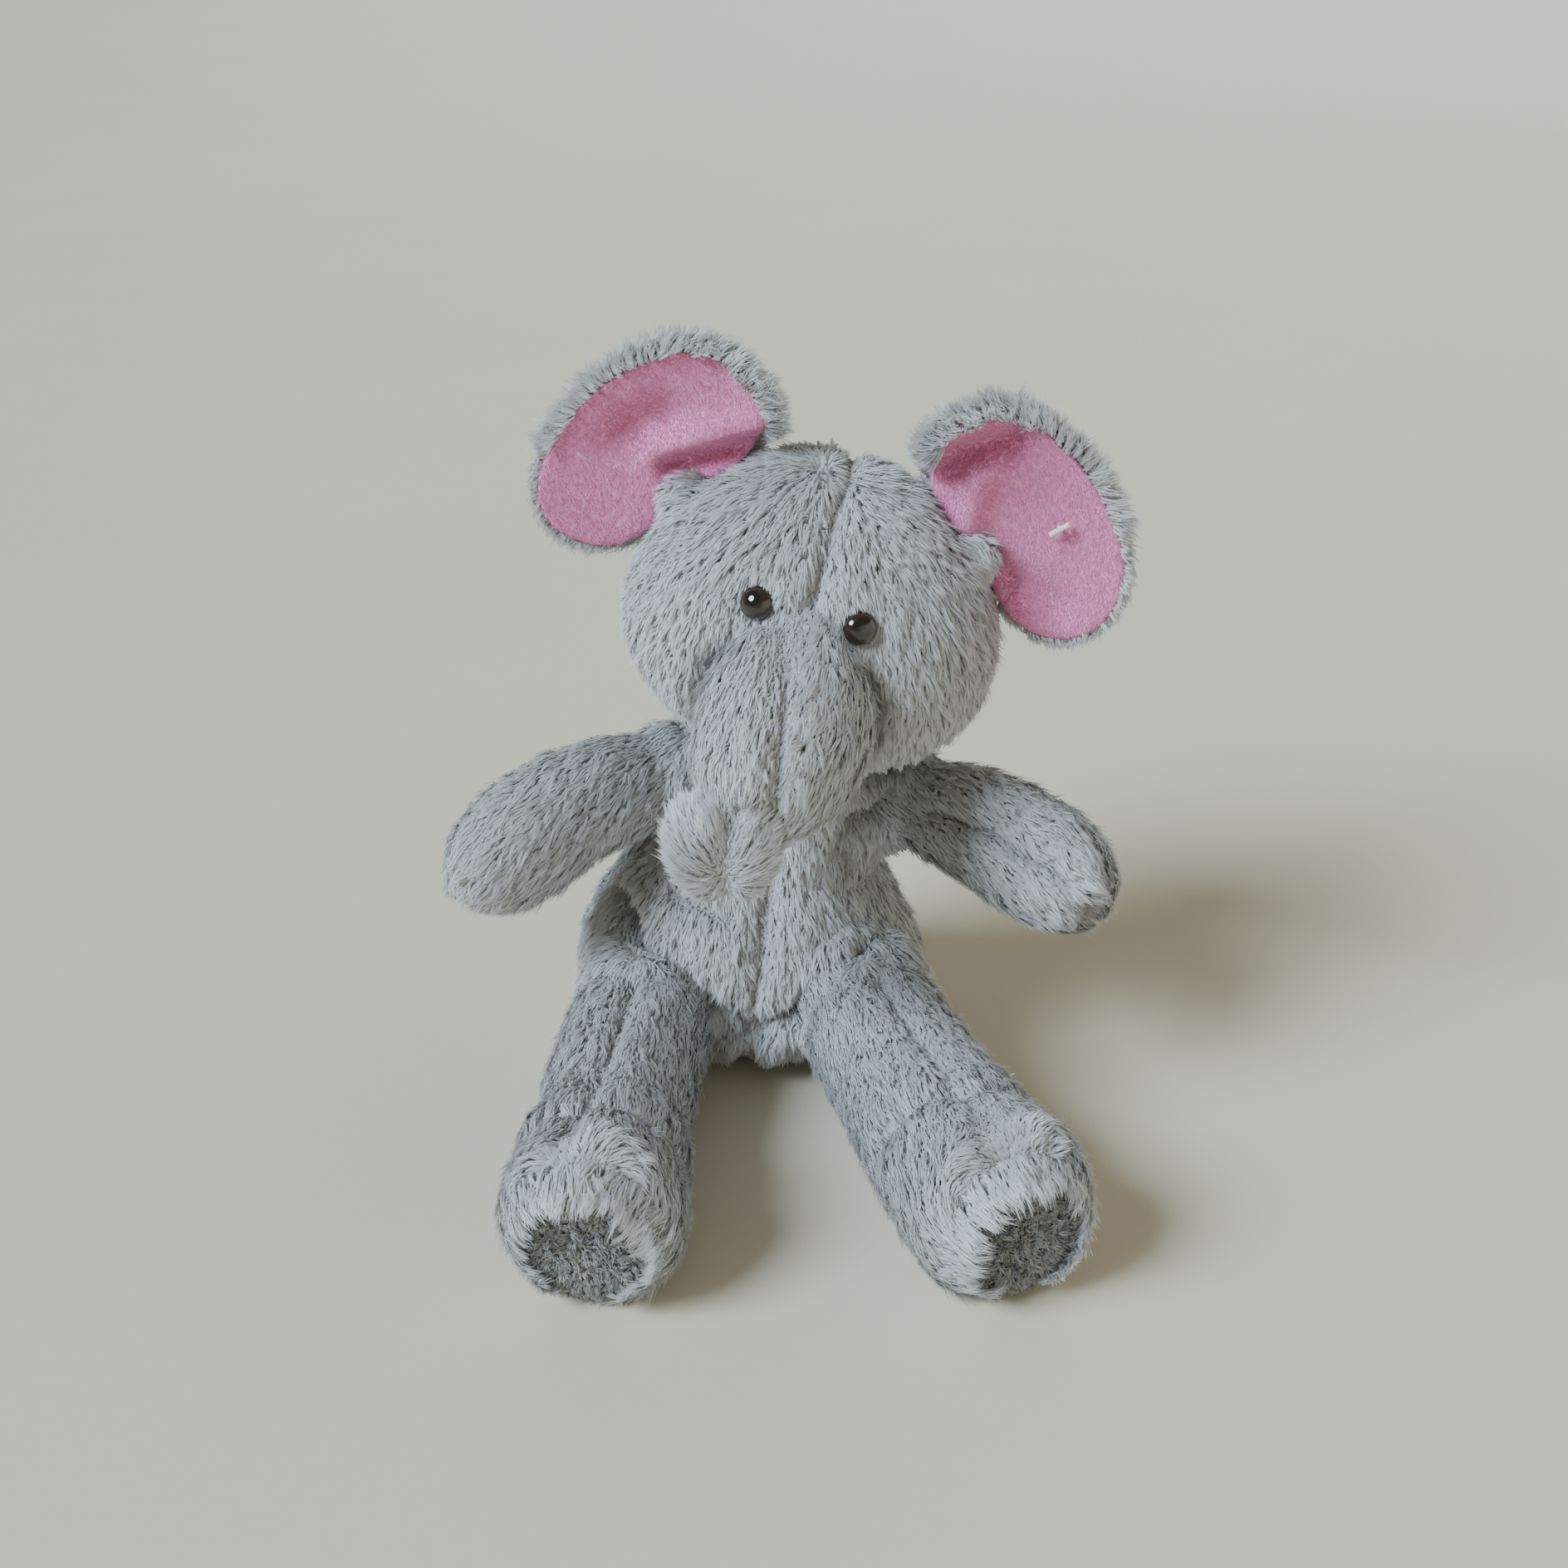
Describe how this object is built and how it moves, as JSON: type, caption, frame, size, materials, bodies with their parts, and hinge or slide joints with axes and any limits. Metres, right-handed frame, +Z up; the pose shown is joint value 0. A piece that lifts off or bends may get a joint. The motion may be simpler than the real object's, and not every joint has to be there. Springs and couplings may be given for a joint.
{
  "type": "stuffed elephant toy",
  "caption": "Seated long-pile plush elephant with sewn stuffed head, trunk, floppy ears with smooth linings, arms, legs with flat soles, and a small tail.",
  "frame": {"origin": "middle of the flat seat, on the floor plane, under the torso", "axes": "+Z up, the elephant faces -Y, its own left side is +X"},
  "size_m": [0.2611, 0.248, 0.2914],
  "materials": {
    "grey_plush": "long-pile grey plush",
    "sole_plush": "short curly darker grey plush",
    "pink_velour": "smooth pink velour",
    "stuffing": "polyester fibre filling",
    "eye_plastic": "glossy dark brown dome",
    "washer_plastic": "plain lock washer",
    "pin_plastic": "thin white nylon"
  },
  "bodies": {
    "torso": {"torso_front_left": "grey_plush", "torso_front_right": "grey_plush", "torso_back_left": "grey_plush", "torso_back_right": "grey_plush", "torso_seat": "grey_plush", "torso_stuffing": "stuffing"},
    "neck": {"neck_seam": "grey_plush"},
    "head": {"face_left": "grey_plush", "face_right": "grey_plush", "head_back_left": "grey_plush", "head_back_right": "grey_plush", "head_stuffing": "stuffing", "eye_left": "eye_plastic", "eye_right": "eye_plastic", "eye_washer_left": "washer_plastic", "eye_washer_right": "washer_plastic"},
    "trunk": {"trunk_left": "grey_plush", "trunk_right": "grey_plush", "trunk_stuffing": "stuffing"},
    "trunk_tip": {"trunk_tip_left": "grey_plush", "trunk_tip_right": "grey_plush", "trunk_tip_stuffing": "stuffing"},
    "ear_left": {"ear_left_back": "grey_plush", "ear_left_lining": "pink_velour", "tag_pin": "pin_plastic"},
    "ear_right": {"ear_right_back": "grey_plush", "ear_right_lining": "pink_velour"},
    "shoulder_left": {"arm_left_seam": "grey_plush"},
    "arm_left": {"arm_left_front": "grey_plush", "arm_left_rear": "grey_plush", "arm_left_stuffing": "stuffing"},
    "hip_left": {"leg_left_seam": "grey_plush"},
    "leg_left": {"leg_left_outer": "grey_plush", "leg_left_inner": "grey_plush", "leg_left_sole": "sole_plush", "leg_left_stuffing": "stuffing"},
    "shoulder_right": {"arm_right_seam": "grey_plush"},
    "arm_right": {"arm_right_front": "grey_plush", "arm_right_rear": "grey_plush", "arm_right_stuffing": "stuffing"},
    "hip_right": {"leg_right_seam": "grey_plush"},
    "leg_right": {"leg_right_outer": "grey_plush", "leg_right_inner": "grey_plush", "leg_right_sole": "sole_plush", "leg_right_stuffing": "stuffing"},
    "tail": {"tail": "grey_plush", "tail_tuft": "grey_plush"}
  },
  "joints": [
    {"name": "head_turn", "type": "hinge", "parent": "torso", "child": "neck", "pos_m": [0.018, 0.002, 0.104], "axis": [0, 0, 1], "range_deg": [-25, 25]},
    {"name": "head_nod", "type": "hinge", "parent": "neck", "child": "head", "pos_m": [0.018, 0.002, 0.104], "axis": [1, 0, 0], "range_deg": [-12, 12]},
    {"name": "ear_left_flap", "type": "hinge", "parent": "head", "child": "ear_left", "pos_m": [0.08192, -0.00926, 0.21533], "axis": [0.5227, -0.023, -0.8522], "range_deg": [-20, 25]},
    {"name": "ear_right_flap", "type": "hinge", "parent": "head", "child": "ear_right", "pos_m": [-0.02377, 0.00458, 0.23378], "axis": [0.8043, -0.113, 0.5834], "range_deg": [-20, 25]},
    {"name": "trunk_lift", "type": "hinge", "parent": "head", "child": "trunk", "pos_m": [0.01565, -0.04236, 0.18221], "axis": [-0.9649, 0.1356, 0.2249], "range_deg": [-10, 20]},
    {"name": "trunk_curl", "type": "hinge", "parent": "trunk", "child": "trunk_tip", "pos_m": [-0.00421, -0.084, 0.14435], "axis": [-0.9649, 0.1356, 0.2249], "range_deg": [-15, 25]},
    {"name": "arm_left_lift", "type": "hinge", "parent": "torso", "child": "shoulder_left", "pos_m": [0.06, -0.007, 0.11], "axis": [0, -1, 0], "range_deg": [-12, 22]},
    {"name": "arm_left_swing", "type": "hinge", "parent": "shoulder_left", "child": "arm_left", "pos_m": [0.06, -0.007, 0.11], "axis": [0, 0, -1], "range_deg": [-15, 20]},
    {"name": "arm_right_lift", "type": "hinge", "parent": "torso", "child": "shoulder_right", "pos_m": [-0.033, -0.005, 0.124], "axis": [0, 1, 0], "range_deg": [-12, 22]},
    {"name": "arm_right_swing", "type": "hinge", "parent": "shoulder_right", "child": "arm_right", "pos_m": [-0.033, -0.005, 0.124], "axis": [0, 0, 1], "range_deg": [-15, 20]},
    {"name": "leg_left_lift", "type": "hinge", "parent": "torso", "child": "hip_left", "pos_m": [0.038, -0.037, 0.033], "axis": [-1, 0, 0], "range_deg": [0, 18]},
    {"name": "leg_left_splay", "type": "hinge", "parent": "hip_left", "child": "leg_left", "pos_m": [0.038, -0.037, 0.033], "axis": [0, 0, 1], "range_deg": [-6, 10]},
    {"name": "leg_right_lift", "type": "hinge", "parent": "torso", "child": "hip_right", "pos_m": [-0.047, -0.037, 0.033], "axis": [-1, 0, 0], "range_deg": [0, 18]},
    {"name": "leg_right_splay", "type": "hinge", "parent": "hip_right", "child": "leg_right", "pos_m": [-0.047, -0.037, 0.033], "axis": [0, 0, -1], "range_deg": [-6, 10]},
    {"name": "tail_lift", "type": "hinge", "parent": "torso", "child": "tail", "pos_m": [-0.004, 0.051, 0.044], "axis": [1, 0, 0], "range_deg": [0, 50]}
  ]
}
